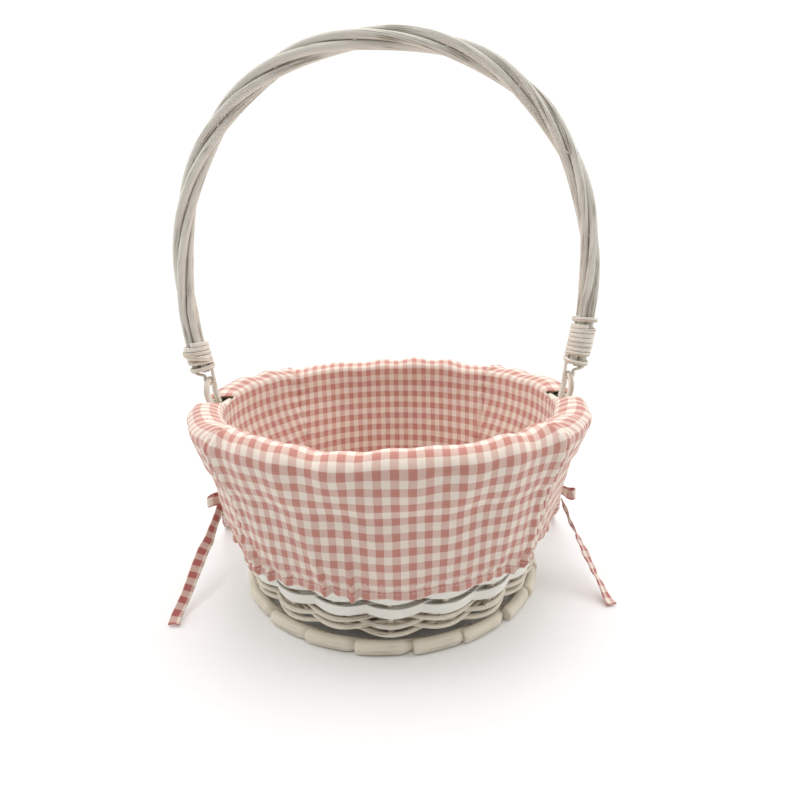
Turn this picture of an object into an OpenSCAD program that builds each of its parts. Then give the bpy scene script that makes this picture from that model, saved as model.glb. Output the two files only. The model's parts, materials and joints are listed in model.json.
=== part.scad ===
// Round willow easter basket: a woven wall, a twisted swing handle and a tied cloth liner.
// Front is -Y, the handle's feet are on the X axis, and the foot rods stand on z = 0.

/* [Wicker wall] */
// Radius of the stakes' circle at the base sticks
base_r = 109; // [95:0.5:122]
// Radius of the stakes' circle at the rim rods
rim_r = 137; // [120:0.5:165]
// Height of the rim rods' centres above the table
rim_z = 137; // [112:1:165]
// Number of stakes, a multiple of four so that one stands at each handle eye
stakes_n = 20; // [16:4:24]
// Diameter of a stake and of a base stick
stake_d = 5; // [3.5:0.1:6]
// Diameter of a thin weaving rod
weaver_d = 3.2; // [2:0.1:4]
// Thickness of a flat wood strip
strip_t = 1.5; // [0.8:0.1:2]
// Height of the gap between two strips, where the stakes show
strip_gap = 3.4; // [0.2:0.1:5]

/* [Foot and base] */
// Diameter of a thick foot rod
foot_rod_d = 9.4; // [6:0.1:11.3]
// Depth of the flat worn on the underside of the foot rods
foot_wear = 0.4; // [0.2:0.1:0.8]
// How far the foot rods' centres stand outside the stakes' circle
foot_out = 4.2; // [2:0.1:6]

/* [Rim] */
// Diameter of a rim rod
rim_rod_d = 7; // [5:0.1:9]
// Half the length of rim left without a top rod at each handle eye
eye_gap = 24; // [18:1:30]

/* [Handle] */
// Height of the whole basket with the handle up
total_h = 399; // [345:1:480]
// Widest distance across the outside of the handle
handle_w = 317; // [290:1:360]
// Height of the handle's widest place above the rim rods
handle_wide_h = 91; // [75:1:120]
// Diameter of one handle strand
strand_d = 6; // [5:0.1:8.4]
// Turns that the four strands make round each other, in quarters
strand_turns = 2.25; // [1.25:0.25:4]
// Length at each foot of the handle where the strands run straight
strand_straight = 45; // [35:1:70]
// Diameter of the eye's rod
eye_rod_d = 4.4; // [3:0.1:5.2]
// Radius of the eye's arch, at the middle of its rod
eye_arch_r = 9; // [8:0.1:11]
// Width of the cane strip in the loops and bindings
cane_w = 3.2; // [2.5:0.1:3.6]
// Thickness of the cane strip
cane_t = 1.6; // [1:0.1:2]
// Turns in the left binding
binding_turns_left = 5; // [3:1:8]
// Turns in the right binding
binding_turns_right = 7; // [3:1:8]

/* [Liner] */
// Thickness of the cloth with its folds
cloth_t = 1.5; // [1:0.1:2]
// Clearance between the cloth and the wicker
cloth_gap = 0.5; // [0.4:0.1:2]
// Height of the liner's crest above the rim rods' centres
crest_h = 10.5; // [9:0.5:16]
// Height of the hem above the table
hem_z = 48; // [34:1:60]
// How far the rolled edge swells beyond the line of the skirt
roll_puff = 4; // [2:0.1:8]
// How far the gathered hem hangs clear of the wicker
skirt_puff = 3; // [2:0.1:8]
// Half the width of the slit in the rolled edge at each handle eye
slit_half = 12.5; // [12:0.5:16]

/* [Ties] */
// Height of the bow knots
knot_z = 64; // [54:1:76]
// Diameter of a knot
knot_d = 9; // [7:0.5:12]
// Width of a tie
tie_w = 8; // [6:0.5:10]
// Thickness of a tie
tie_t = 1.2; // [0.8:0.1:1.6]
// Reach of a bow loop beyond its knot
bow_l = 17; // [12:1:24]

/* [Hidden] */
$fn = 64;

willow = "#d9d2c4";
chip_white = "#ece8e0";
pink_cloth = "#e3b3ab";
elastic_white = "#f2efec";

// Touching woods keep this much air
weave_gap = 0.15;
row_gap = 0.2;
// A rod is this much thicker at a sharp bend
bend_swell = 0.2;

// ---- Wall line ----
base_z = foot_rod_d - foot_wear + row_gap + (stake_d + bend_swell) / 2;
lean = atan((rim_r - base_r) / (rim_z - base_z));
stake_step = 360 / stakes_n;
function wall_r(z) = base_r + (z - base_z) * tan(lean);
// How far a weaver of thickness t swings either side of the stakes' line
function weave_amp(t) = (stake_d / 2 + t / 2 + weave_gap) / cos(lean);
weave_half = weave_amp(weaver_d) + weaver_d / 2 / cos(lean);

// ---- Rows of the wall, from the foot up ----
lower_rows = 4;
strip_rows = 8;
upper_rows = 2;
weaver_pitch = weaver_d + row_gap;
lower_z = base_z + stake_d / 2 + row_gap + weaver_d / 2;
strips_z = lower_z + lower_rows * weaver_pitch - weaver_d / 2;
upper_top = rim_z - rim_rod_d / 2 - row_gap;
upper_z = upper_top - upper_rows * weaver_pitch + row_gap + weaver_d / 2;
strip_pitch = (upper_z - weaver_d / 2 - strips_z) / strip_rows;
strip_h = strip_pitch - strip_gap;

// ---- Rim ----
rim_off = (stake_d / 2 + rim_rod_d / 2 + weave_gap) / cos(lean);
top_rod_rise = sqrt(max(0, pow(rim_rod_d + weave_gap, 2) - pow(rim_off, 2)));
stake_top = rim_z + top_rod_rise - rim_rod_d / 2 - stake_d / 2 * sin(lean) - 0.3;
eye_gap_angle = asin(eye_gap / rim_r);

// ---- Handle ----
eye_x = rim_r + 3;
pivot_z = rim_z + rim_rod_d / 2 + 9.5;
eye_bar_z = pivot_z + eye_arch_r;
loop_clear = 0.6;
loop_r = eye_rod_d / 2 + loop_clear + cane_t / 2;
strand_ring_r = (strand_d + weave_gap) / sqrt(2);
bundle_r = strand_ring_r + strand_d / 2;
strand_end_z = eye_bar_z + loop_r + 3.4;
wide_x = handle_w / 2 - bundle_r;
wide_z = rim_z + handle_wide_h;
arch_h = total_h - bundle_r - wide_z;
leg_l = wide_z - strand_end_z;
arch_l = PI * (wide_x + arch_h) / 2;
// Power that makes the arch fuller than a half ellipse, which has 1
arch_full = 0.93;
handle_l = 2 * leg_l + arch_l;
// The valley between two strands holds an arm of the cane loop at this offset
arm_half = cane_w / 2 + 0.1;
arm_off = strand_ring_r / sqrt(2) + cane_t / 2
    + sqrt(pow(strand_d / 2 + 0.1, 2) - pow(strand_ring_r / sqrt(2) - arm_half, 2));
binding_r = max(bundle_r, arm_off + cane_t / 2) + 0.5;
binding_pitch = cane_w + 0.2;
binding_z_left = strand_end_z + 3;
binding_z_right = strand_end_z + 6;

// Half-width of the handle at height z below its widest place
function leg_x(z) = wide_x - (wide_x - eye_x) * pow((wide_z - z) / (wide_z - pivot_z), 2);
function leg_tilt(z) = atan(2 * (wide_x - eye_x) * (wide_z - z) / pow(wide_z - pivot_z, 2));
// Point on the handle's middle line at length s from the right foot, as [x, z]
function handle_pt(s) =
    s < leg_l ? [leg_x(strand_end_z + s), strand_end_z + s]
    : s > leg_l + arch_l
        ? [-leg_x(strand_end_z + handle_l - s), strand_end_z + handle_l - s]
    : let (a = 180 * (s - leg_l) / arch_l, c = cos(a))
        [wide_x * sign(c) * pow(abs(c), arch_full),
         wide_z + arch_h * pow(max(0, sin(a)), arch_full)];
function handle_dir(s) =
    let (d = handle_pt(min(s + 1, handle_l)) - handle_pt(max(s - 1, 0))) d / norm(d);
function strand_twist(s) =
    let (u = (s - strand_straight) / (handle_l - 2 * strand_straight))
    360 * strand_turns * min(1, max(0, u));

// ---- Liner ----
liner_off = weave_half + cloth_gap + cloth_t / 2;
floor_z = base_z + stake_d / 2 + weave_gap + weaver_d + row_gap;
crest_z = rim_z + crest_h - cloth_t / 2;
roll_in_r = rim_r - rim_off - rim_rod_d / 2 - cloth_gap - cloth_t / 2;
roll_out_r = rim_r + rim_off + rim_rod_d / 2 + cloth_gap + cloth_t / 2 + 0.8;
inner_top_z = rim_z - rim_rod_d / 2 - 8;
// Skirt heights as shares of the drop from the rim to the hem, with the swell of the roll
// and the looseness of the skirt at each
skirt_z = [0.91, 0.82, 0.76, 0.71, 0.66, 0.59, 0.42, 0.22, 0.10, 0];
skirt_swell = [1.15, 0.90, 0.78, 0.36, 0.05, 0, 0, 0, 0, 0];
skirt_loose = [0, 0, 0, 0, 0.1, 0.2, 0.3, 0.5, 0.5, 0.4];
function skirt_point(k) =
    let (z = hem_z + skirt_z[k] * (rim_z - hem_z))
    [wall_r(z) + liner_off + roll_puff * skirt_swell[k] + skirt_puff * skirt_loose[k], z];
// The cloth's middle line as [radius, height], from the floor over the rim to the hem
liner_line = concat(
    [
        [wall_r(floor_z) - liner_off, floor_z],
        [wall_r(rim_z / 2) - liner_off, rim_z / 2],
        [min(wall_r(inner_top_z) - liner_off, roll_in_r), inner_top_z],
        [roll_in_r, rim_z],
        [roll_in_r + 1, rim_z + 0.55 * crest_h],
        [rim_r - 5.5, crest_z - 1.4],
        [rim_r, crest_z],
        [rim_r + 6, crest_z - 1],
        [roll_out_r, rim_z + 0.35 * crest_h]
    ],
    [for (k = [0 : len(skirt_z) - 1]) skirt_point(k)]
);
// Index of the first line point whose cloth is slit at the handle eyes
slit_from = 4;
seam_angle = 45 - 0.03;
panel_steps = 6;
chord = cos(seam_angle / panel_steps / 2);
// The rolled edge dips at the handle eyes, so that the handle can lie down over it
saddle_low = rim_z + rim_rod_d / 2 + cloth_gap + cloth_t / 2 + 0.5;
saddle_slope = 0.35;
function saddle_z(y) = saddle_low + saddle_slope * max(0, abs(y) - slit_half);
// Half angle of the slit beside line point j: the tie draws it nearly shut below the roll
slit_shut_half = 2.2;
function slit_angle(j) =
    j < slit_from ? 0
    : let (f = min(1, (j - slit_from) / (len(liner_line) - 4 - slit_from)))
    asin((slit_half + (slit_shut_half - slit_half) * f * f) / liner_line[j][0]);

elastic_w = 5;
elastic_t = 0.8;
elastic_clear = 0.5;
elastic_r = (skirt_point(9)[0] + 0.25 * (skirt_point(8)[0] - skirt_point(9)[0])
    - cloth_t / 2 / cos(lean)) * chord - elastic_clear;

// ---- Ties ----
function skirt_r(z) = wall_r(z) + liner_off + skirt_puff / 2 + cloth_t / 2;
knot_x = skirt_r(knot_z) + knot_d / 2 + 0.3;
// Middle lines of the loose tails from the middle of the knot, for the front ones, with y
// and x growing away from the basket; the tables' last points lie on the table
left_front_route = [
    [3, -7, -6], [4, -11, -10], [5, -16, -14], [6, -21, -18], [7, -26, -22], [8, -32, -27],
    [10, -38, -31], [11, -44, -35], [12, -50, -39], [13, -55, -43], [14, -60, -47],
    [15, -65, -51], [16, -70, -54], [17, -75, -57], [18, -80, -60], [18, -85, -62]
];
left_back_route = [
    [4, 6, -7], [6, 10, -11], [8, 14, -15], [10, 18, -20], [12, 22, -25], [13, 26, -30],
    [14, 30, -34], [16, 34, -38], [17, 38, -42], [19, 42, -46], [20, 46, -50],
    [21, 50, -54], [22, 54, -57], [23, 58, -60], [24, 63, -62], [25, 68, -62]
];
right_front_route = [
    [4, -6, -8], [5, -9, -12], [7, -13, -17], [8, -17, -22], [10, -21, -26], [12, -25, -30],
    [13, -30, -34], [15, -35, -38], [16, -40, -42], [18, -45, -46], [19, -49, -50],
    [21, -53, -53], [22, -58, -56], [23, -62, -59], [24, -66, -61], [25, -70, -62]
];
right_back_route = [
    [4, 6, -7], [6, 10, -11], [8, 15, -15], [9, 20, -19], [11, 25, -23], [12, 30, -28],
    [13, 35, -33], [14, 40, -38], [15, 44, -43], [16, 48, -47], [17, 53, -51],
    [18, 58, -55], [19, 63, -58], [19, 68, -61], [20, 73, -62], [20, 78, -62]
];

// ---- Shared shapes ----

// Solid through a list of rings of points, each ring with the same number of points; a
// thin ring, out along one face and back along the other, has its ends closed pair by pair
module loft(rings, closed = false, thin = false) {
    n = len(rings);
    m = len(rings[0]);
    function thin_cap(at, way) = [
        for (k = [0 : m / 2 - 2])
            let (back = m - 1 - k)
            each way > 0
                ? [[at + k, at + k + 1, at + back - 1], [at + k, at + back - 1, at + back]]
                : [[at + back - 1, at + k + 1, at + k], [at + back, at + back - 1, at + k]]
    ];
    spans = closed ? n : n - 1;
    sides = [
        for (i = [0 : spans - 1], k = [0 : m - 1])
            let (a = i * m, b = ((i + 1) % n) * m, next = (k + 1) % m)
            each [[a + k, b + k, b + next], [a + k, b + next, a + next]]
    ];
    caps = closed ? []
        : thin ? concat(thin_cap(0, 1), thin_cap((n - 1) * m, -1))
        : [
            [for (k = [0 : m - 1]) k],
            [for (k = [m - 1 : -1 : 0]) (n - 1) * m + k]
        ];
    polyhedron([for (ring = rings, p = ring) p], concat(caps, sides));
}

// Closed band round the wall: section points are [distance off the middle line, height],
// and the middle line swings by amp to each side of the stakes in turn
module woven_band(section, amp, phase) {
    rings = [
        for (i = [0 : 3 * stakes_n - 1])
            let (a = -i * stake_step / 3, swing = amp * cos(180 * a / stake_step + phase))
            [for (p = section)
                let (r = wall_r(p[1]) + swing + p[0]) [r * cos(a), r * sin(a), p[1]]]
    ];
    loft(rings, closed = true);
}

module weaver_row(z, phase) {
    sides = 6;
    section = [
        for (k = [0 : sides - 1])
            let (a = 360 * k / sides) [weaver_d / 2 * cos(a), z + weaver_d / 2 * sin(a)]
    ];
    woven_band(section, weave_amp(weaver_d), phase);
}

module rod_hoop(r, z, d, from = 0, span = 360) {
    translate([0, 0, z]) rotate([0, 0, from])
        rotate_extrude(angle = span, $fn = 180) translate([r, 0]) circle(d = d);
}

// Closed outline of a band of thickness t that follows a line of [x, y] points
function band_side(line, off) = [
    for (i = [0 : len(line) - 1])
        let (
            d = line[min(i + 1, len(line) - 1)] - line[max(i - 1, 0)],
            n = [-d[1], d[0]] / norm(d)
        )
        line[i] + off * n
];
function reversed(list) = [for (i = [len(list) - 1 : -1 : 0]) list[i]];
function band_outline(line, t) =
    concat(band_side(line, t / 2), reversed(band_side(line, -t / 2)));

// ---- Base and foot ----

// One of five sticks that lie side by side over or under the other five in the middle of
// the base, and fan out beyond the crossing until all ten lie level
module base_stick(number, level) {
    sides = 8;
    spans = 20;
    pitch = stake_d + row_gap;
    block = 2.6 * pitch;
    reach = (wall_r(lower_z) - weave_half - 1) * cos(number * stake_step);
    function fan(x) =
        let (u = min(1, max(0, (abs(x) - block) / (1.8 * pitch + 2)))) u * u * (3 - 2 * u);
    function stick_pt(u) =
        let (x = reach * sign(u) * pow(abs(u), 1.5), f = fan(x))
        [
            x,
            (1 - f) * number * pitch + f * abs(x) * tan(number * stake_step),
            level * (1 - f) * pitch / 2
        ];
    rings = [
        for (i = [0 : spans])
            let (
                u = 2 * i / spans - 1,
                d = stick_pt(min(1, u + 0.02)) - stick_pt(max(-1, u - 0.02)),
                along = d / norm(d),
                across = cross([0, 0, 1], along) / norm(cross([0, 0, 1], along)),
                up = cross(along, across)
            )
            [for (k = [0 : sides - 1])
                let (a = -360 * k / sides)
                stick_pt(u) + stake_d / 2 * (cos(a) * across + sin(a) * up)]
    ];
    loft(rings);
}

module base_sticks() {
    color(willow) translate([0, 0, base_z]) rotate([0, 0, stake_step / 2])
        for (number = [-2 : 2]) {
            base_stick(number, -1);
            rotate([0, 0, 90]) base_stick(number, 1);
        }
}

module base_weavers() {
    first_r = 5.8 * stake_d;
    last_r = wall_r(lower_z) - weave_half - 0.3 - weaver_d / 2;
    pitch = weaver_d + 0.6;
    rise = stake_d / 2 + weave_gap + weaver_d / 2;
    color(willow)
        for (k = [0 : floor((last_r - first_r) / pitch)])
            rod_hoop(first_r + k * pitch, base_z + (k % 2 == 0 ? rise : -rise), weaver_d);
}

// One upright: a foot pushed into the base, a sharp bend, and the lean of the wall
module stake() {
    foot_l = 26;
    translate([base_r - foot_l, 0, base_z]) rotate([0, 90, 0])
        cylinder(d = stake_d, h = foot_l);
    translate([base_r, 0, base_z]) {
        sphere(d = stake_d + bend_swell);
        rotate([0, lean, 0]) cylinder(d = stake_d, h = (stake_top - base_z) / cos(lean));
    }
}

module stakes() {
    color(willow)
        for (k = [0 : stakes_n - 1]) rotate([0, 0, k * stake_step]) stake();
}

module foot_rods() {
    foot_r = base_r + foot_out;
    end_gap = 0.4;
    color(willow) difference() {
        for (k = [0 : stakes_n - 1])
            rod_hoop(foot_r, foot_rod_d / 2 - foot_wear, foot_rod_d,
                (k + 0.5) * stake_step + end_gap / 2, stake_step - end_gap);
        translate([0, 0, -foot_rod_d]) cylinder(r = foot_r + foot_rod_d, h = foot_rod_d);
    }
}

// ---- Wall ----

module lower_wale(row) {
    color(willow) weaver_row(lower_z + (row - 1) * weaver_pitch, 180 * (row % 2));
}

module upper_wale(row) {
    color(willow) weaver_row(upper_z + (row - 1) * weaver_pitch, 180 * (row % 2));
}

module chip_strip(row) {
    z = strips_z + (row - 1) * strip_pitch;
    half = strip_t / 2 / cos(lean);
    section = [[-half, z], [half, z], [half, z + strip_h], [-half, z + strip_h]];
    color(chip_white) woven_band(section, weave_amp(strip_t), 180 * (row % 2));
}

// ---- Rim ----

module rim_rod_inner() {
    color(willow) rod_hoop(rim_r - rim_off, rim_z, rim_rod_d);
}

module rim_rod_outer() {
    color(willow) rod_hoop(rim_r + rim_off, rim_z, rim_rod_d);
}

module rim_rod_top(turn) {
    color(willow) rod_hoop(rim_r, rim_z + top_rod_rise, rim_rod_d,
        turn + eye_gap_angle, 180 - 2 * eye_gap_angle);
}

module rim_rod_top_front() { rim_rod_top(180); }

module rim_rod_top_back() { rim_rod_top(0); }

// Arch of bent rod that stands in the rim; the handle's pivot is the arch's centre
module handle_eye(side) {
    foot_z = upper_top + row_gap + 0.4;
    color(willow) translate([side * eye_x, 0, pivot_z]) {
        rotate([90, 0, 90]) rotate_extrude(angle = 180)
            translate([eye_arch_r, 0]) circle(d = eye_rod_d);
        for (y = [-eye_arch_r, eye_arch_r]) {
            drop = pivot_z - foot_z;
            inward = sqrt(rim_r * rim_r - eye_arch_r * eye_arch_r) - eye_x;
            translate([0, y, 0]) sphere(d = eye_rod_d + bend_swell);
            translate([0, y, 0]) rotate([0, 180 - side * atan(inward / drop), 0])
                cylinder(d = eye_rod_d, h = norm([inward, drop]));
        }
    }
}

module handle_eye_left() { handle_eye(-1); }

module handle_eye_right() { handle_eye(1); }

// ---- Handle ----

module handle_strand(number) {
    sides = 8;
    spans = 64;
    rings = [
        for (i = [0 : spans])
            let (
                s = handle_l * i / spans,
                p = handle_pt(s),
                d = handle_dir(s),
                out = [d[1], 0, -d[0]],
                a = 45 + 90 * number + strand_twist(s),
                mid = [p[0], 0, p[1]] + strand_ring_r * (cos(a) * out + sin(a) * [0, 1, 0])
            )
            [for (k = [0 : sides - 1])
                let (b = 360 * k / sides)
                mid + strand_d / 2 * (cos(b) * out + sin(b) * [0, 1, 0])]
    ];
    color(willow) loft(rings);
}

// Turns of flat cane, drawn as closed rings one above another along the handle's foot
module handle_binding(side, from_z, turns) {
    chamfer = cane_t / 4;
    section = [
        [0, chamfer], [chamfer, 0], [cane_t - chamfer, 0], [cane_t, chamfer],
        [cane_t, cane_w - chamfer], [cane_t - chamfer, cane_w], [chamfer, cane_w],
        [0, cane_w - chamfer]
    ];
    color(willow)
        for (k = [0 : turns - 1]) {
            z = from_z + k * binding_pitch * cos(leg_tilt(from_z));
            translate([side * leg_x(z), 0, z]) rotate([0, side * leg_tilt(from_z), 0])
                rotate_extrude() translate([binding_r, 0]) polygon(section);
        }
}

module handle_binding_left() { handle_binding(-1, binding_z_left, binding_turns_left); }

module handle_binding_right() { handle_binding(1, binding_z_right, binding_turns_right); }

// Cane strip that goes round the eye's bar, with both ends bound to the strands
module handle_loop(side, top_z) {
    arm_steps = 5;
    bottom_steps = 12;
    tilt = leg_tilt(strand_end_z);
    function arm_point(z, way) = [
        leg_x(z) + way * arm_off * cos(leg_tilt(z)),
        z - way * arm_off * sin(leg_tilt(z))
    ];
    function arm(way) = [
        for (k = [0 : arm_steps])
            arm_point(top_z + (strand_end_z - top_z) * k / arm_steps, way)
    ];
    round_bar = [
        for (k = [0 : bottom_steps])
            let (a = 25 - 230 * k / bottom_steps)
            [eye_x + loop_r * cos(a), eye_bar_z + loop_r * sin(a)]
    ];
    line = concat(arm(1), round_bar, reversed(arm(-1)));
    color(chip_white) mirror([side < 0 ? 1 : 0, 0, 0])
        translate([0, cane_w / 2, 0]) rotate([90, 0, 0])
            linear_extrude(height = cane_w) polygon(band_outline(line, cane_t));
}

module handle_loop_left() {
    handle_loop(-1, binding_z_left + binding_turns_left * binding_pitch);
}

module handle_loop_right() {
    handle_loop(1, binding_z_right + binding_turns_right * binding_pitch);
}

// ---- Liner ----

module liner_bottom() {
    r = (liner_line[0][0] - cloth_t / 2) * chord - 0.1;
    color(pink_cloth) translate([0, 0, floor_z]) cylinder(r = r, h = cloth_t, $fn = 120);
}

// Half of a side panel, from the slit's edge to the seam, dipping where the handle lies down
module liner_half() {
    inside = band_side(liner_line, cloth_t / 2);
    outside = band_side(liner_line, -cloth_t / 2);
    count = len(liner_line);
    start = 45 - seam_angle;
    function cloth_point(p, j, f) =
        let (
            a = start + slit_angle(j) + (seam_angle - start - slit_angle(j)) * f,
            low = saddle_z(liner_line[j][0] * sin(a)),
            z = min(liner_line[j][1], low) + p[1] - liner_line[j][1]
        )
        [p[0] * cos(a), p[0] * sin(a), z];
    rings = [
        for (i = [0 : panel_steps])
            concat(
                [for (j = [0 : count - 1]) cloth_point(inside[j], j, i / panel_steps)],
                [for (j = [count - 1 : -1 : 0]) cloth_point(outside[j], j, i / panel_steps)]
            )
    ];
    loft(rings, thin = true);
}

module liner_whole(turn) {
    color(pink_cloth) rotate([0, 0, turn - seam_angle])
        rotate_extrude(angle = 2 * seam_angle, $fn = 96)
            polygon(band_outline(liner_line, cloth_t));
}

module liner_slit(turn) {
    color(pink_cloth) rotate([0, 0, turn]) {
        liner_half();
        mirror([0, 1, 0]) liner_half();
    }
}

module liner_front() { liner_whole(-90); }

module liner_back() { liner_whole(90); }

module liner_left() { liner_slit(180); }

module liner_right() { liner_slit(0); }

// Flat elastic inside the hem, from slit to slit
module hem_elastic(turn) {
    margin = 3;
    z = hem_z + 3;
    color(elastic_white) rotate([0, 0, turn + margin])
        rotate_extrude(angle = 180 - 2 * margin, $fn = 180)
            translate([elastic_r - elastic_t, z]) square([elastic_t, elastic_w]);
}

module hem_elastic_front() { hem_elastic(180); }

module hem_elastic_back() { hem_elastic(0); }

// ---- Ties ----

module tie_knot(side) {
    color(pink_cloth) translate([side * knot_x, 0, knot_z]) sphere(d = knot_d);
}

module tie_knot_left() { tie_knot(-1); }

module tie_knot_right() { tie_knot(1); }

// Two closed loops of tie, one each way along the skirt from the knot
module tie_loops(side) {
    steps = 20;
    start = knot_d / 2 + 0.2;
    function loop_line(grow) = [
        for (k = [0 : steps - 1])
            let (t = 360 * k / steps)
            [
                start - grow * cos(t) + bow_l * (1 - cos(t)) / 2,
                (tie_w * 0.55 + grow) * sin(t) * (0.62 - 0.38 * cos(t))
            ]
    ];
    color(pink_cloth)
        translate([side * knot_x, 0, knot_z - tie_w / 2])
            for (way = [-1, 1])
                rotate([0, 0, way * 62 + (side < 0 ? 180 : 0)])
                    linear_extrude(height = tie_w)
                        difference() {
                            translate([tie_t, 0]) polygon(loop_line(0));
                            translate([tie_t, 0]) polygon(loop_line(-tie_t));
                        }
}

module tie_loops_left() { tie_loops(-1); }

module tie_loops_right() { tie_loops(1); }

// Loose flat tail that follows a route from the knot; its width turns level by the table
module tie_tail(side, route) {
    sides = 8;
    last = len(route) - 1;
    rings = [
        for (i = [0 : last])
            let (
                d = route[min(i + 1, last)] - route[max(i - 1, 0)],
                along = d / norm(d),
                level = cross(along, [0, 0, 1]) / norm(cross(along, [0, 0, 1])),
                flat = cross(level, along),
                turn = 58 * (1 - pow(i / last, 2)),
                wide = cos(turn) * level + sin(turn) * flat,
                thin = cross(wide, along)
            )
            [for (k = [0 : sides - 1])
                let (b = 360 * k / sides + 22.5)
                route[i] + tie_w / 2 * cos(b) * wide + tie_t / 2 * sin(b) * thin]
    ];
    color(pink_cloth) mirror([side < 0 ? 1 : 0, 0, 0])
        translate([knot_x, 0, knot_z]) loft(rings);
}

module tie_tail_left_front() { tie_tail(-1, left_front_route); }

module tie_tail_left_back() { tie_tail(-1, left_back_route); }

module tie_tail_right_front() { tie_tail(1, right_front_route); }

module tie_tail_right_back() { tie_tail(1, right_back_route); }

base_sticks();
base_weavers();
stakes();
foot_rods();
for (row = [1 : lower_rows])
    lower_wale(row);
for (row = [1 : strip_rows])
    chip_strip(row);
for (row = [1 : upper_rows])
    upper_wale(row);
rim_rod_inner();
rim_rod_outer();
rim_rod_top_front();
rim_rod_top_back();
handle_eye_left();
handle_eye_right();
for (number = [1 : 4])
    handle_strand(number);
handle_binding_left();
handle_binding_right();
handle_loop_left();
handle_loop_right();
liner_bottom();
liner_front();
liner_back();
liner_left();
liner_right();
hem_elastic_front();
hem_elastic_back();
tie_knot_left();
tie_knot_right();
tie_loops_left();
tie_loops_right();
tie_tail_left_front();
tie_tail_left_back();
tie_tail_right_front();
tie_tail_right_back();
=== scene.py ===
import json

import bpy
import numpy as np
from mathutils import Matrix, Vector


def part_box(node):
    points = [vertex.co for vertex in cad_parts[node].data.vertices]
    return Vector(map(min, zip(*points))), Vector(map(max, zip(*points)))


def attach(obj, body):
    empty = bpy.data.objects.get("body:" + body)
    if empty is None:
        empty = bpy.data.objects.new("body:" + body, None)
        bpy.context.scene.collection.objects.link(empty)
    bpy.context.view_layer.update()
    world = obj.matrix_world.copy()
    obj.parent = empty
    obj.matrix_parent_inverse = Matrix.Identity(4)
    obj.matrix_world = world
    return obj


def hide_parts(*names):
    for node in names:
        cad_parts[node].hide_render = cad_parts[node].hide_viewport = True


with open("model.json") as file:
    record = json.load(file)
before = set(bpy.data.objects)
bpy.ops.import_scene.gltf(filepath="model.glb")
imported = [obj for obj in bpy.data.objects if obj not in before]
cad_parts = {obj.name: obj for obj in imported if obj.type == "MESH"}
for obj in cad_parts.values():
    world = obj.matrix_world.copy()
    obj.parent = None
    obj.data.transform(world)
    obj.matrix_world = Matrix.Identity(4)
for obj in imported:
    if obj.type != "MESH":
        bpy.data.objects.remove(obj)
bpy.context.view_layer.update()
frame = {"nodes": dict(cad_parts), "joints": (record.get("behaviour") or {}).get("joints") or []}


def new_object(name, data):
    """Object linked into the scene."""
    made = bpy.data.objects.new(name, data)
    bpy.context.scene.collection.objects.link(made)
    return made


def stand_at(made, aside, up, back, place):
    """Puts an object at a place, with its own X, Y and Z along aside, up and back."""
    axes = np.eye(4)
    axes[:3, :4] = np.stack([aside, up, back, place], axis=1)
    made.matrix_world = axes.T


# ---- Camera ----
# The basket stands on a table and is seen from a little above its rim, close enough that
# the front of the rim looks clearly wider than the back. The camera leans very slightly.
camera_at = np.array([0.0082, -0.4095, 0.2458])
camera_down = np.radians(14.5)
camera_lean = np.radians(-0.917)
ahead = np.array([0.0, np.cos(camera_down), -np.sin(camera_down)])
level = np.array([1.0, 0.0, 0.0])
aside = level * np.cos(camera_lean) + np.cross(level, ahead) * np.sin(camera_lean)
camera_data = bpy.data.cameras.new("camera")
camera_data.lens = 24.1
camera_data.clip_start = 0.01
camera = new_object("camera", camera_data)
stand_at(camera, aside, np.cross(aside, ahead), -ahead, camera_at)
bpy.context.scene.camera = camera


# ---- Tie tails ----
# Each side of the liner is drawn shut by two narrow sewn ties of the liner's own gingham.
# Their loose tails hang from the bow knot down to the table: 8 mm wide, 1.2 mm thick.
tie_w = 0.008
tie_t = 0.0012
knot_d = 0.009
tail_turn = np.radians(58)
left_front_route = [
    [3, -7, -6], [4, -11, -10], [5, -16, -14], [6, -21, -18], [7, -26, -22], [8, -32, -27],
    [10, -38, -31], [11, -44, -35], [12, -50, -39], [13, -55, -43], [14, -60, -47],
    [15, -65, -51], [16, -70, -54], [17, -75, -57], [18, -80, -60], [18, -85, -62],
]
left_back_route = [
    [4, 6, -7], [6, 10, -11], [8, 14, -15], [10, 18, -20], [12, 22, -25], [13, 26, -30],
    [14, 30, -34], [16, 34, -38], [17, 38, -42], [19, 42, -46], [20, 46, -50],
    [21, 50, -54], [22, 54, -57], [23, 58, -60], [24, 63, -62], [25, 68, -62],
]
right_front_route = [
    [4, -6, -8], [5, -9, -12], [7, -13, -17], [8, -17, -22], [10, -21, -26], [12, -25, -30],
    [13, -30, -34], [15, -35, -38], [16, -40, -42], [18, -45, -46], [19, -49, -50],
    [21, -53, -53], [22, -58, -56], [23, -62, -59], [24, -66, -61], [25, -70, -62],
]
right_back_route = [
    [4, 6, -7], [6, 10, -11], [8, 15, -15], [9, 20, -19], [11, 25, -23], [12, 30, -28],
    [13, 35, -33], [14, 40, -38], [15, 44, -43], [16, 48, -47], [17, 53, -51],
    [18, 58, -55], [19, 63, -58], [19, 68, -61], [20, 73, -62], [20, 78, -62],
]


def unit(v):
    return v / np.linalg.norm(v, axis=-1, keepdims=True)


def run_length(points):
    """Length along a line of points, from 0 at its first point."""
    steps = np.linalg.norm(np.diff(points, axis=0), axis=1)
    return np.concatenate([[0], np.cumsum(steps)])


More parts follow.
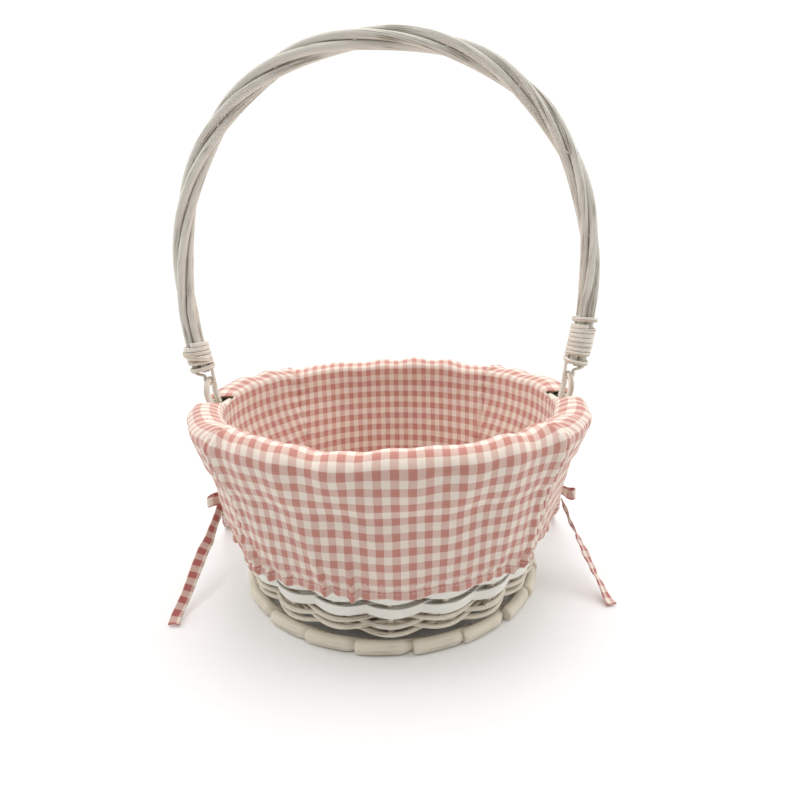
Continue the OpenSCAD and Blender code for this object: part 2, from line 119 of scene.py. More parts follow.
def smooth_line(points, count):
    """Cubic Hermite line through the points, at count places evenly spaced along it."""
    points = np.asarray(points, float)
    t = run_length(points)
    slope = np.gradient(points, t, axis=0)
    at = np.linspace(0, t[-1], 8 * count)
    k = np.clip(np.searchsorted(t, at, side="right") - 1, 0, len(t) - 2)
    h = (t[k + 1] - t[k])[:, None]
    x = ((at - t[k]) / (t[k + 1] - t[k]))[:, None]
    fine = (
        (2 * x**3 - 3 * x**2 + 1) * points[k] + (x**3 - 2 * x**2 + x) * h * slope[k]
        + (3 * x**2 - 2 * x**3) * points[k + 1] + (x**3 - x**2) * h * slope[k + 1]
    )
    s = run_length(fine)
    even = np.linspace(0, s[-1], count)
    return np.stack([np.interp(even, s, fine[:, c]) for c in range(fine.shape[1])], axis=1)


def round_path(r, phi, z):
    """Points (r·cos φ, r·sin φ, z) round the basket's upright middle line."""
    return np.stack([r * np.cos(phi), r * np.sin(phi), z + 0 * phi], axis=-1)


def grid(points, u, v, wrap_rows=False, wrap_cols=False):
    """Quads over a grid of points [row, column]; u and v hold the pattern's place of each
    corner, with one more row or column than points where the grid closes on itself."""
    rows, cols = points.shape[:2]
    i = np.arange(rows if wrap_rows else rows - 1)[:, None]
    k = np.arange(cols if wrap_cols else cols - 1)[None, :]
    corners = [(i, k), (i, k + 1), (i + 1, k + 1), (i + 1, k)]
    quads = np.stack([(a % rows) * cols + b % cols for a, b in corners], axis=-1)
    uv = np.stack([np.stack([u[a, b], v[a, b]], axis=-1) for a, b in corners], axis=-2)
    return {
        "points": points.reshape(-1, 3), "quads": quads.reshape(-1, 4),
        "quad_uv": uv.reshape(-1, 4, 2), "tris": np.zeros((0, 3), int),
        "tri_uv": np.zeros((0, 3, 2)),
    }


def rod(path, outward, out_half, across_half, sides=16, corner=2.0, closed=False):
    """Rod or strip along a path: P(s, a) = path(s) + h·N(s) + w·B(s), where N is outward
    made square to the path, B = T × N, and (h, w) runs round a superellipse:
    h = out_half·sgn(cos a)·|cos a|^(2/corner), w = across_half·sgn(sin a)·|sin a|^(2/corner)."""
    path = np.asarray(path, float)
    if closed:
        along = unit(np.roll(path, -1, axis=0) - np.roll(path, 1, axis=0))
    else:
        along = unit(np.gradient(path, axis=0))
    square = unit(outward - np.sum(outward * along, axis=1, keepdims=True) * along)
    across = np.cross(along, square)
    a = np.arange(sides + 1) * 2 * np.pi / sides
    h = np.multiply.outer(np.ones(len(path)) * out_half,
                          np.sign(np.cos(a)) * np.abs(np.cos(a)) ** (2 / corner))
    w = np.multiply.outer(np.ones(len(path)) * across_half,
                          np.sign(np.sin(a)) * np.abs(np.sin(a)) ** (2 / corner))
    points = path[:, None] + h[..., None] * square[:, None] + w[..., None] * across[:, None]
    s = run_length(np.vstack([path, path[:1]]) if closed else path)
    girth = run_length(points[0])[-1]
    u = np.repeat(s[:, None], sides + 1, axis=1)
    v = np.repeat(np.linspace(0, girth, sides + 1)[None], len(s), axis=0)
    made = grid(points[:, :sides], u, v, wrap_rows=closed, wrap_cols=True)
    if closed:
        return made
    ends = len(made["points"]) + np.arange(2)
    k = np.arange(sides)
    after = (k + 1) % sides
    last = (len(path) - 1) * sides
    made["points"] = np.vstack([made["points"], path[:1], path[-1:]])
    made["tris"] = np.vstack([
        np.stack([np.full(sides, ends[0]), after, k], axis=1),
        np.stack([np.full(sides, ends[1]), last + k, last + after], axis=1),
    ])
    flat = np.stack([h[0] + s[0], w[0]], axis=1), np.stack([h[-1] + s[-1], w[-1]], axis=1)
    middle = np.array([s[0], 0.0]), np.array([s[-1], 0.0])
    made["tri_uv"] = np.vstack([
        np.stack([np.broadcast_to(middle[0], (sides, 2)), flat[0][1:], flat[0][:-1]], axis=1),
        np.stack([np.broadcast_to(middle[1], (sides, 2)), flat[1][:-1], flat[1][1:]], axis=1),
    ])
    return made


def make_piece(name, parts, material, body, stands_for=()):
    """One object from several grids and rods, riding on a body, with its pattern's UV map."""
    starts = np.concatenate([[0], np.cumsum([len(p["points"]) for p in parts])[:-1]])
    points = np.vstack([p["points"] for p in parts])
    quads = np.vstack([p["quads"] + at for p, at in zip(parts, starts)])
    tris = np.vstack([p["tris"] + at for p, at in zip(parts, starts)])
    mesh = bpy.data.meshes.new(name)
    mesh.vertices.add(len(points))
    mesh.loops.add(4 * len(quads) + 3 * len(tris))
    mesh.polygons.add(len(quads) + len(tris))
    mesh.vertices.foreach_set("co", points.astype(np.float32).ravel())
    corners = np.concatenate([quads.ravel(), tris.ravel()])
    mesh.loops.foreach_set("vertex_index", corners.astype(np.int32))
    first = np.concatenate([4 * np.arange(len(quads)), 4 * len(quads) + 3 * np.arange(len(tris))])
    mesh.polygons.foreach_set("loop_start", first.astype(np.int32))
    mesh.update(calc_edges=True)
    uv = np.vstack([p["quad_uv"].reshape(-1, 2) for p in parts]
                   + [p["tri_uv"].reshape(-1, 2) for p in parts])
    mesh.uv_layers.new(name="pattern").data.foreach_set("uv", uv.astype(np.float32).ravel())
    mesh.polygons.foreach_set("use_smooth", np.ones(len(mesh.polygons), bool))
    mesh.set_sharp_from_angle(angle=np.radians(50))
    mesh.validate()
    mesh.materials.append(material)
    made = new_object(name, mesh)
    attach(made, body)
    if stands_for:
        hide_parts(*stands_for)
    return made


def add(tree, kind, values=None, **settings):
    """Adds a node with its settings; each value goes on the input of that name or number,
    as a number or as a link from another node's output."""
    made = tree.nodes.new(kind)
    for key, value in settings.items():
        setattr(made, key, value)
    for key, value in (values or {}).items():
        if isinstance(value, bpy.types.NodeSocket):
            tree.links.new(value, made.inputs[key])
        else:
            made.inputs[key].default_value = value
    return made


def new_material(name, values):
    """Material with its shader's inputs set; gives its node tree and its shader too."""
    made = bpy.data.materials.new(name)
    made.use_nodes = True
    shader = made.node_tree.nodes["Principled BSDF"]
    for key, value in values.items():
        shader.inputs[key].default_value = value
    return made, made.node_tree, shader


def calc(tree, operation, *values):
    """Output of a maths node."""
    return add(tree, "ShaderNodeMath", dict(enumerate(values)), operation=operation).outputs[0]


def blend_colors(tree, share, first, second, how="MIX"):
    """first where share is 0, second where it is 1."""
    made = add(tree, "ShaderNodeMix", {0: share, 6: first, 7: second}, data_type="RGBA",
               blend_type=how)
    return made.outputs[2]


def ease(tree, value, low, high):
    """0 below low, 1 above high, and smooth between them."""
    return add(tree, "ShaderNodeMapRange", {0: value, 1: low, 2: high},
               interpolation_type="SMOOTHSTEP").outputs[0]


def new_group(name, inputs, outputs):
    """Empty node group with named sockets; inputs give each one's kind and usual value."""
    group = bpy.data.node_groups.new(name, "ShaderNodeTree")
    for label, (kind, value) in inputs.items():
        socket = group.interface.new_socket(label, in_out="INPUT", socket_type=kind)
        if value is not None:
            socket.default_value = value
    for label, kind in outputs.items():
        group.interface.new_socket(label, in_out="OUTPUT", socket_type=kind)
    return group, group.nodes.new("NodeGroupInput").outputs, group.nodes.new("NodeGroupOutput")


def noise_at(tree, vector, across, along, detail=3.0, rough=0.55):
    """Noise stretched over the pattern: across and along are lengths of one blob."""
    scaled = add(tree, "ShaderNodeVectorMath",
                 {0: vector, 1: (1 / along, 1 / across, 1 / across)}, operation="MULTIPLY")
    return add(tree, "ShaderNodeTexNoise",
               {"Vector": scaled.outputs[0], "Scale": 1.0, "Detail": detail,
                "Roughness": rough}).outputs["Fac"]


def gingham_group():
    """Woven gingham: amount of pink = mean of a warp stripe and a weft stripe, each pink for
    half of its pitch; threads cross as a plain weave, sin(2πu/thread)·sin(2πv/thread)."""
    group, given, out = new_group(
        "gingham_weave",
        {"Vector": ("NodeSocketVector", None), "Warp Pitch": ("NodeSocketFloat", 0.0094),
         "Weft Pitch": ("NodeSocketFloat", 0.0112), "Thread": ("NodeSocketFloat", 0.0007),
         "Ground": ("NodeSocketColor", None), "Pink": ("NodeSocketColor", None)},
        {"Color": "NodeSocketColor", "Height": "NodeSocketFloat"})
    wander = noise_at(group, given["Vector"], 0.012, 0.012, detail=1.0)
    drift = calc(group, "MULTIPLY_ADD", wander, 0.0010, -0.0005)
    part = add(group, "ShaderNodeSeparateXYZ", {0: given["Vector"]}).outputs
    stripes = []
    for place, pitch in ((part[0], given["Warp Pitch"]), (part[1], given["Weft Pitch"])):
        turn = calc(group, "DIVIDE", calc(group, "ADD", place, drift), pitch)
        stripes.append(ease(group, calc(group, "PINGPONG", turn, 0.5), 0.232, 0.268))
    waves = []
    for place in part[:2]:
        around = calc(group, "MULTIPLY", calc(group, "DIVIDE", place, given["Thread"]), 2 * np.pi)
        waves.append(calc(group, "SINE", around))
    weave = calc(group, "MULTIPLY", waves[0], waves[1])
    on_top = calc(group, "MULTIPLY_ADD", weave, 0.22, 0.5)
    pink = calc(group, "ADD", calc(group, "MULTIPLY", stripes[0], on_top),
                calc(group, "MULTIPLY", stripes[1], calc(group, "SUBTRACT", 1.0, on_top)))
    slub_warp = noise_at(group, given["Vector"], 0.02, 0.0006, detail=1.0)
    slub_weft = noise_at(group, given["Vector"], 0.0006, 0.02, detail=1.0)
    slub = calc(group, "MULTIPLY_ADD", calc(group, "ADD", slub_warp, slub_weft), 0.16, -0.16)
    pink = add(group, "ShaderNodeClamp", {0: calc(group, "ADD", pink, slub)}).outputs[0]
    color = blend_colors(group, pink, given["Ground"], given["Pink"])
    group.links.new(color, out.inputs["Color"])
    height = calc(group, "MULTIPLY_ADD", weave, 0.5, 0.5)
    group.links.new(calc(group, "ADD", height, slub), out.inputs["Height"])
    return group


def stitch_group():
    """Row of stitches along u at v = Line: 1 on each thread, 0 between them."""
    group, given, out = new_group(
        "stitch_row",
        {"Vector": ("NodeSocketVector", None), "Line": ("NodeSocketFloat", 0.0),
         "Pitch": ("NodeSocketFloat", 0.0032)},
        {"Mask": "NodeSocketFloat"})
    part = add(group, "ShaderNodeSeparateXYZ", {0: given["Vector"]}).outputs
    off = calc(group, "ABSOLUTE", calc(group, "SUBTRACT", part[1], given["Line"]))
    near = calc(group, "SUBTRACT", 1.0, ease(group, off, 0.0002, 0.0005))
    step = calc(group, "PINGPONG", calc(group, "DIVIDE", part[0], given["Pitch"]), 0.5)
    dash = ease(group, step, 0.12, 0.18)
    group.links.new(calc(group, "MULTIPLY", near, dash), out.inputs["Mask"])
    return group


gingham_weave = gingham_group()
stitch_row = stitch_group()
cotton_white = (0.84, 0.74, 0.645, 1.0)
cotton_pink = (0.56, 0.245, 0.20, 1.0)
tie_pink = (0.46, 0.14, 0.125, 1.0)


def gingham(name, pink, warp, weft, stitch_lines):
    """Cotton of the liner and the ties: pitch of its stripes along u and v, and rows of
    stitches at the given v lines."""
    made, tree, shader = new_material(
        name, {"Roughness": 0.88, "Sheen Weight": 0.2, "Specular IOR Level": 0.25})
    uv = add(tree, "ShaderNodeTexCoord").outputs["UV"]
    cloth = add(tree, "ShaderNodeGroup",
                {"Vector": uv, "Warp Pitch": warp, "Weft Pitch": weft, "Ground": cotton_white,
                 "Pink": pink}, node_tree=gingham_weave)
    color, height = cloth.outputs["Color"], cloth.outputs["Height"]
    for line in stitch_lines:
        row = add(tree, "ShaderNodeGroup", {"Vector": uv, "Line": line}, node_tree=stitch_row)
        color = blend_colors(tree, calc(tree, "MULTIPLY", row.outputs["Mask"], 0.35), color,
                             (0.86, 0.80, 0.74, 1.0))
        height = calc(tree, "MULTIPLY_ADD", row.outputs["Mask"], 3.0, height)
    fade = noise_at(tree, uv, 0.05, 0.05, detail=2.0)
    faded = blend_colors(tree, ease(tree, fade, 0.25, 0.8), (0.93, 0.93, 0.93, 1.0),
                         (1.0, 1.0, 1.0, 1.0))
    color = blend_colors(tree, 1.0, color, faded, how="MULTIPLY")
    tree.links.new(color, shader.inputs["Base Color"])
    bump = add(tree, "ShaderNodeBump", {"Height": height, "Strength": 0.35, "Distance": 0.0002})
    tree.links.new(bump.outputs[0], shader.inputs["Normal"])
    return made


warp_pitch = 0.0094
tie_weft_pitch = 0.0064
tie_gingham = gingham("tie_gingham", tie_pink, warp_pitch, tie_weft_pitch, [0.0010, 0.0070])
for tail, route, length in (("left_front", left_front_route, 0.100),
                            ("left_back", left_back_route, 0.089),
                            ("right_front", right_front_route, 0.089),
                            ("right_back", right_back_route, 0.096)):
    side = -1 if tail.startswith("left") else 1
    knot = np.mean(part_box("tie_knot_" + tail.split("_")[0]), axis=0)
    line = smooth_line(np.array(route) * [side, 1, 1] / 1000 + knot, 90)
    share = np.linspace(0, 1, len(line))
    along = unit(np.gradient(line, axis=0))
    flat = unit(np.cross(along, [0.0, 0.0, 1.0]))
    upright = np.cross(flat, along) * side
    turn = tail_turn * (1 - share**2) + 0.25 * np.sin(2 * np.pi * share * 1.5)
    face = np.cos(turn)[:, None] * upright - side * np.sin(turn)[:, None] * flat
    width = tie_w / 2 * (1 - 0.10 * np.sin(np.pi * share) * np.cos(7 * share))
    strip = rod(line, face, tie_t / 2, width, sides=28, corner=4.0)
    made = make_piece("tail_" + tail, [strip], tie_gingham, "root",
                      ["tie_tail_" + tail])

# ---- Bow knots and loops ----
# Each pair of ties is knotted over the shut slit at the side, with one soft flattened loop
# towards the front and one towards the back.
bow_l = 0.017
for side, name in ((-1, "left"), (1, "right")):
    middle = np.mean(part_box("tie_knot_" + name), axis=0)
    lat = np.linspace(0.06, np.pi - 0.06, 31)
    core = middle + np.cos(lat)[:, None] * [0.0, knot_d / 2 * 0.98, 0.0]
    girth = knot_d / 2 * np.sin(lat) * (1 + 0.05 * np.cos(6 * lat))
    ball = rod(core, np.tile([side, 0.0, 0.0], (31, 1)), 0.9 * girth, 1.03 * girth, sides=36,
               corner=2.3)
    wrap_a = np.linspace(0, 2 * np.pi, 65)[:-1]
    band = np.stack([side * (0.0002 + 0.0040 * np.cos(wrap_a)), 0.0006 * np.sin(2 * wrap_a),
                     0.0046 * np.sin(wrap_a)], axis=1)
    wrap = rod(band + middle, unit(band), tie_t / 2, 0.0026, sides=20, corner=3.0, closed=True)
    make_piece("knot_" + name, [ball, wrap], tie_gingham, "root",
               ["tie_knot_" + name])
    loops = []
    for way, droop in ((-1, 0.0012), (1, -0.0010)):
        t = np.linspace(0, 2 * np.pi, 97)[:-1]
        reach = knot_d / 2 - 0.0010 + bow_l * 1.02 * (1 - np.cos(t)) / 2
        bulge = 0.0046 * np.sin(t) * (0.66 - 0.34 * np.cos(t))
        angle = way * np.radians(62)
        out = side * np.array([np.cos(angle), np.sin(angle), 0.0])
        beside = np.array([-out[1], out[0], 0.0])
        line = middle + reach[:, None] * out + bulge[:, None] * beside
        line[:, 2] += droop * np.sin(t / 2) ** 2 + 0.0006 * np.sin(3 * t)
        facing = unit(np.gradient(line, axis=0))
        facing = np.cross(facing, [0.0, 0.0, 1.0])
        wide = tie_w / 2 * (0.62 + 0.38 * np.sin(t / 2) ** 2)
        loops.append(rod(line, facing, tie_t / 2, wide, sides=24, corner=4.0, closed=True))
    make_piece("loops_" + name, loops, tie_gingham, "root",
               ["tie_loops_" + name])


# ---- Whitewashed rods ----
# The willow and the wood strips are washed with thin white paint: it lies thick in places
# and lets the grey-brown wood show in long streaks in others.
def whitewash_group():
    """Paint over wood along u: cover = grain streaks and larger worn patches, eased about
    1 - Cover; the wood below has darker veins."""
    group, given, out = new_group(
        "whitewash",
        {"Vector": ("NodeSocketVector", None), "Cover": ("NodeSocketFloat", 0.6),
         "Wood": ("NodeSocketColor", None), "Vein": ("NodeSocketColor", None),
         "Paint": ("NodeSocketColor", None)},
        {"Color": "NodeSocketColor", "Height": "NodeSocketFloat",
         "Roughness": "NodeSocketFloat"})
    fine = noise_at(group, given["Vector"], 0.0006, 0.030, detail=4.0)
    broad = noise_at(group, given["Vector"], 0.0022, 0.050, detail=3.0)
    patch = noise_at(group, given["Vector"], 0.012, 0.040, detail=2.0)
    mixed = calc(group, "ADD", calc(group, "MULTIPLY", fine, 0.34),
                 calc(group, "ADD", calc(group, "MULTIPLY", broad, 0.30),
                      calc(group, "MULTIPLY", patch, 0.36)))
    bare = calc(group, "SUBTRACT", 1.0, given["Cover"])
    low = calc(group, "MULTIPLY_ADD", bare, 0.42, 0.27)
    cover = ease(group, calc(group, "SUBTRACT", mixed, low), -0.055, 0.075)
    veined = ease(group, fine, 0.42, 0.62)
    wood = blend_colors(group, veined, given["Vein"], given["Wood"])
    group.links.new(blend_colors(group, cover, wood, given["Paint"]), out.inputs["Color"])
    height = calc(group, "ADD", calc(group, "MULTIPLY", cover, 0.5),
                  calc(group, "MULTIPLY", fine, 0.8))
    group.links.new(height, out.inputs["Height"])
    group.links.new(calc(group, "MULTIPLY_ADD", cover, 0.14, 0.52), out.inputs["Roughness"])
    return group


whitewash = whitewash_group()


def washed(name, wood, vein, paint, cover, depth=0.00035, coat=0.0, on_object=False):
    """Whitewashed wood whose grain runs along each rod, or along X where the pattern has no
    rod to follow."""
    made, tree, shader = new_material(
        name, {"Specular IOR Level": 0.35, "Coat Weight": coat})
    place = add(tree, "ShaderNodeTexCoord").outputs["Object" if on_object else "UV"]
    skin = add(tree, "ShaderNodeGroup",
               {"Vector": place, "Cover": cover, "Wood": wood, "Vein": vein, "Paint": paint},
               node_tree=whitewash)
    tree.links.new(skin.outputs["Color"], shader.inputs["Base Color"])
    tree.links.new(skin.outputs["Roughness"], shader.inputs["Roughness"])
    bump = add(tree, "ShaderNodeBump",
               {"Height": skin.outputs["Height"], "Strength": 0.6, "Distance": depth})
    tree.links.new(bump.outputs[0], shader.inputs["Normal"])
    return made


paint_white = (0.78, 0.71, 0.59, 1.0)
willow_wood = (0.46, 0.40, 0.31, 1.0)
willow_vein = (0.30, 0.25, 0.18, 1.0)
washed_willow = washed("whitewashed_willow", willow_wood, willow_vein, paint_white, 0.68)
washed_strip = washed("white_wood_strip", (0.60, 0.54, 0.44, 1.0), (0.42, 0.36, 0.27, 1.0),
                      (0.87, 0.85, 0.78, 1.0), 0.84, depth=0.0002)
base_willow = washed("base_willow", willow_wood, willow_vein, paint_white, 0.45,
                     on_object=True)


def willow_piece(name, parts, node):
    """Piece of whitewashed willow in the wicker shell, in place of one CAD node."""
    make_piece(name, parts, washed_willow, "root", [node])


# ---- Base ----
# Ten willow sticks cross in two layers of five and fan out to twenty ends; thin rods are
# woven round them, over and under by turns, from the crossing out to the wall.
stake_d = 0.005
weaver_d = 0.0032
rod_air = 0.00015
stakes_n = 20
stake_step = 2 * np.pi / stakes_n
base_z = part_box("stakes")[0].z + stake_d / 2 + 0.0001
frame["nodes"]["base_sticks"].data.materials.clear()
frame["nodes"]["base_sticks"].data.materials.append(base_willow)
foot_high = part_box("foot_rods")[1]
foot_rod_d = 0.0094
foot_r = foot_high.x - foot_rod_d / 2
foot_out = 0.0042
base_r = foot_r - foot_out
woven_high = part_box("base_weavers")[1]
ring_pitch = weaver_d + 0.0006
ring_first = 5.8 * stake_d
ring_count = int(round((woven_high.x - weaver_d / 2 - ring_first) / ring_pitch)) + 1
rings = []
for ring in range(ring_count):
    phi = np.linspace(0, 2 * np.pi, 241)[:-1]
    swing = (stake_d / 2 + weaver_d / 2 + rod_air) * np.cos(
        stakes_n / 2 * (phi - stake_step / 2) + np.pi * ring)
    r = ring_first + ring * ring_pitch + 0.0002 * np.sin(3 * phi + ring)
    path = round_path(r, phi, base_z + swing)
    rings.append(rod(path, round_path(1, phi, 0), weaver_d / 2, weaver_d / 2, sides=8, closed=True))
willow_piece("base_weave", rings, "base_weavers")

# ---- Stakes ----
# Twenty willow uprights are pushed into the base beside its sticks, bent up sharply, and
# lean outwards to the rim; the wall is woven round them.
rim_low, rim_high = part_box("rim_rod_outer")
inner_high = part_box("rim_rod_inner")[1]
rim_rod_d = rim_high.z - rim_low.z
rim_z = (rim_high.z + rim_low.z) / 2
rim_off = (rim_high.x - inner_high.x) / 2
rim_r = (rim_high.x + inner_high.x - rim_rod_d) / 2
lean = np.arctan2(rim_r - base_r, rim_z - base_z)


def wall_r(z):
    """Radius of the stakes' circle: a straight line from the base to the rim."""
    return base_r + (z - base_z) * np.tan(lean)


stake_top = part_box("stakes")[1].z - stake_d / 2 * np.sin(lean)
stake_foot = 0.026
bend_from = 0.004
stake_rods = []
rng = np.random.default_rng(11)
for k in range(stakes_n):
    phi = k * stake_step
    radial = np.array([np.cos(phi), np.sin(phi), 0.0])
    flat_r = np.linspace(base_r - stake_foot, base_r - bend_from, 8)
    bend = np.linspace(0, np.pi / 2 - lean, 9)[1:-1]
    bend_r = bend_from / np.tan((np.pi / 2 + lean) / 2)
    up_z = np.linspace(base_z + bend_from, stake_top, 40)
    r = np.concatenate([flat_r, base_r - bend_from + bend_r * np.sin(bend), wall_r(up_z)])
    z = np.concatenate([0 * flat_r + base_z, base_z + bend_r * (1 - np.cos(bend)), up_z])
    path = smooth_line(np.stack([r, z], axis=1), 70)
    path = path[:, :1] * radial + path[:, 1:] * [0.0, 0.0, 1.0]
    side = np.array([-radial[1], radial[0], 0.0])
    thick = stake_d / 2 * (1 - 0.03 * rng.random() + 0.02 * np.sin(np.linspace(0, 9, 70) + k))
    stake_rods.append(rod(path, np.tile(side, (len(path), 1)), thick, thick, sides=12))
willow_piece("stakes_bent", stake_rods, "stakes")

# ---- Foot ----
# A border of twenty thick rods closes the bottom. Each is nearly straight: its blunt head
# stands out over the rod before it, and its thin tail dives behind the next one's head.
foot_z = foot_high.z - foot_rod_d / 2
foot_parts = []
for k in range(stakes_n):
    s = np.linspace(0, 1, 40)
    phi = (k + 0.40 + 1.32 * s + 0.12 * (rng.random() - 0.5)) * stake_step
    thin = np.clip((s - 0.60) / 0.34, 0, 1) ** 1.1
    blunt = np.where(s < 0.012, 0.84, 1.0)
    thick = foot_rod_d / 2 * (0.94 + 0.04 * rng.random()) * blunt
    thick = thick * (1 - thin) + 0.0024 * thin
    r = foot_r + 0.0020 - 0.0014 * np.sin(np.pi * s / 1.5) - 0.0066 * thin
    z = np.maximum(foot_z * (1 - thin) + 0.0022 * thin, thick - 0.0004)
    made = rod(round_path(r, phi, z), round_path(1, phi, 0), thick, thick, sides=18, corner=2.2)
    made["points"][:, 2] = np.maximum(made["points"][:, 2], 0.0)
    foot_parts.append(made)
willow_piece("foot_border", foot_parts, "foot_rods")

# ---- Lower wale and upper wale ----
# Thin willow rods woven over and under the stakes, four rows above the foot and two under
# the rim. Their thick ends stick out a little where a new rod starts beside the old one.
rod_dip = 0.0014


def wall_out(phi):
    """Direction straight out of the leaning wall."""
    return round_path(np.cos(lean), phi, -np.sin(lean))


def weave_swing(thick):
    """How far a weaver swings either side of the stakes' circle."""
    return (stake_d / 2 + thick / 2 + rod_air) / np.cos(lean)


def woven_rod(row_z, phase, thick, start=None, span=None, seed=0):
    """Rod round the wall: r(φ) = wall_r(z) + swing·cos θ, z(φ) = row_z - dip·(1 + cos θ)/2,
    θ = 10φ + phase, with a slow wander in height. Without a start it closes on itself."""
    n = 480 if span is None else int(480 * span / (2 * np.pi)) + 8
    first = 0.0 if start is None else start
    phi = first + np.linspace(0, 2 * np.pi if span is None else span, n, endpoint=span is not None)
    wander = np.random.default_rng(seed).uniform(0, 2 * np.pi, 3)
    turn = np.cos(stakes_n / 2 * phi + phase)
    z = row_z + 0.00022 * (np.sin(3 * phi + wander[0]) + np.sin(7 * phi + wander[1]))
    r = wall_r(z) + weave_swing(thick) * turn
    z = z - rod_dip * (1 + turn) / 2
    half = thick / 2 * (1 + 0.05 * np.sin(5 * phi + wander[2]))
    return rod(round_path(r, phi, z), wall_out(phi), half, half, sides=10, closed=span is None)


for group, rows in (("lower_wale", 4), ("upper_wale", 2)):
    for row in range(1, rows + 1):
        node = f"{group}_{row}"
        low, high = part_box(node)
        row_z = (low.z + high.z) / 2 - (0.0012 if group == "lower_wale" else 0)
        phase = np.pi * (row % 2)
        parts = [woven_rod(row_z, phase, weaver_d, seed=row)]
        if group == "lower_wale":
            for end in range(3):
                at = stake_step * (row * 3 + end * 7 + 0.5 + 0.35)
                end_z = row_z + 0.0012 * (1 if end % 2 else -1)
                parts.append(woven_rod(end_z, phase, weaver_d * 0.7, at, stake_step * 1.35,
                                       seed=20 + end))
        willow_piece(node + "_rods", parts, node)

# ---- Wood strips ----
# Flat chip-wood strips, 9 mm wide and 1.5 mm thick, painted white, are twined in pairs: at
# each stake one of the pair passes outside, dipping a little, and the other inside.
strip_t = 0.0015
strip_dip = 0.0024
for row in range(1, 9):
    node = f"chip_strip_{row}"
    low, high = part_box(node)
    row_z = (low.z + high.z) / 2
    phi = np.linspace(0, 2 * np.pi, 601)[:-1]
    pair = []
    for partner in range(2):
        theta = stakes_n / 2 * phi + np.pi * (row % 2 + partner)
        z = row_z + strip_dip / 2 + 0.0003 * np.sin(4 * phi + 2.6 * row + partner)
        r = wall_r(z) + weave_swing(strip_t) * np.cos(theta) + 0.0009 * np.sin(theta)
        z = z - strip_dip * (1 + np.cos(theta)) / 2
        half = (high.z - low.z) / 2 / np.cos(lean) - 0.0002 - 0.0005 * np.abs(np.sin(theta))
        pair.append(rod(round_path(r, phi, z), wall_out(phi), strip_t / 2, half, sides=20,
                        corner=6.0, closed=True))
    make_piece(f"wood_strip_{row}", pair, washed_strip, "root", [node])

# ---- Rim ----
# Two thick rods clamp the tops of the stakes from inside and outside, and a third lies on
# top from eye to eye at the front and at the back.
eye_gap = 0.024
for node in ("rim_rod_inner", "rim_rod_outer"):
    r = rim_r + (rim_off if node.endswith("outer") else -rim_off)
    phi = np.linspace(0, 2 * np.pi, 361)[:-1]
    half = rim_rod_d / 2 * (1 - 0.01 + 0.01 * np.sin(7 * phi))
    hoop = rod(round_path(r, phi, rim_z), round_path(1, phi, 0), half, half, sides=16,
               closed=True)
    willow_piece(node + "_hoop", [hoop], node)
for node, middle_angle in (("rim_rod_top_front", -np.pi / 2), ("rim_rod_top_back", np.pi / 2)):
    low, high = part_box(node)
    gap = np.arcsin(eye_gap / rim_r)
    phi = middle_angle + np.linspace(-np.pi / 2 + gap, np.pi / 2 - gap, 180)
    arc = rod(round_path(rim_r, phi, (low.z + high.z) / 2), round_path(1, phi, 0),
              rim_rod_d / 2, rim_rod_d / 2, sides=16)
    willow_piece(node + "_arc", [arc], node)

# ---- Handle eyes ----
# A bent rod stands in the rim at each side as an arch; the handle's cane loops turn on it.
eye_rod_d = 0.0044
pivot_z = frame["joints"][0]["pos_m"][2]
pale_cane = washed("pale_cane", (0.60, 0.47, 0.31, 1.0), (0.42, 0.30, 0.18, 1.0),
                   (0.80, 0.76, 0.68, 1.0), 0.62, depth=0.0002)
eye_low, eye_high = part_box("handle_eye_right")
eye_x = eye_high.x - eye_rod_d / 2
eye_arch_r = eye_high.y - eye_rod_d / 2
eye_foot_z = eye_low.z + 0.0006
for side, name in ((-1, "left"), (1, "right")):
    arch = np.linspace(0, np.pi, 30)
    foot_x = np.sqrt(rim_r**2 - eye_arch_r**2)
    top = np.stack([eye_x + 0 * arch, eye_arch_r * np.cos(arch),
                    pivot_z + eye_arch_r * np.sin(arch)], axis=1)
    near = np.array([[foot_x, eye_arch_r, eye_foot_z]])
    far = near * [1, -1, 1]
    line = smooth_line(np.vstack([near, (near + top[:1]) / 2, top, (far + top[-1:]) / 2, far]),
                       80) * [side, side, 1]
    made = rod(line, np.tile([float(side), 0.0, 0.0], (len(line), 1)), eye_rod_d / 2,
               eye_rod_d / 2, sides=16)
    make_piece("eye_" + name, [made], pale_cane, "root", ["handle_eye_" + name])

# ---- Handle ----
# Four thick willow strands run side by side at the feet and twist two and a quarter turns
# round each other over the arch. The handle swings on its loops, to the front and back.
strand_d = 0.006
strand_turns = 2.25
strand_straight = 0.045
arch_full = 0.93
handle_wide_h = 0.091
handle_willow = washed("handle_willow", (0.36, 0.31, 0.24, 1.0), (0.22, 0.18, 0.13, 1.0),
                       (0.72, 0.69, 0.62, 1.0), 0.62, depth=0.0003, coat=0.05)
ring_r = (strand_d + rod_air) / np.sqrt(2)
bundle_r = ring_r + strand_d / 2
cane_w = 0.0032
cane_t = 0.0016
eye_bar_z = pivot_z + eye_arch_r
loop_r = eye_rod_d / 2 + 0.0006 + cane_t / 2
strand_end_z = eye_bar_z + loop_r + 0.0034
strand_high = np.max([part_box(f"handle_strand_{k}")[1] for k in range(1, 5)], axis=0)
wide_x = strand_high[0] - bundle_r
wide_z = rim_z + handle_wide_h
arch_h = strand_high[2] - bundle_r - wide_z
leg_l = wide_z - strand_end_z
arch_l = np.pi * (wide_x + arch_h) / 2
handle_l = 2 * leg_l + arch_l


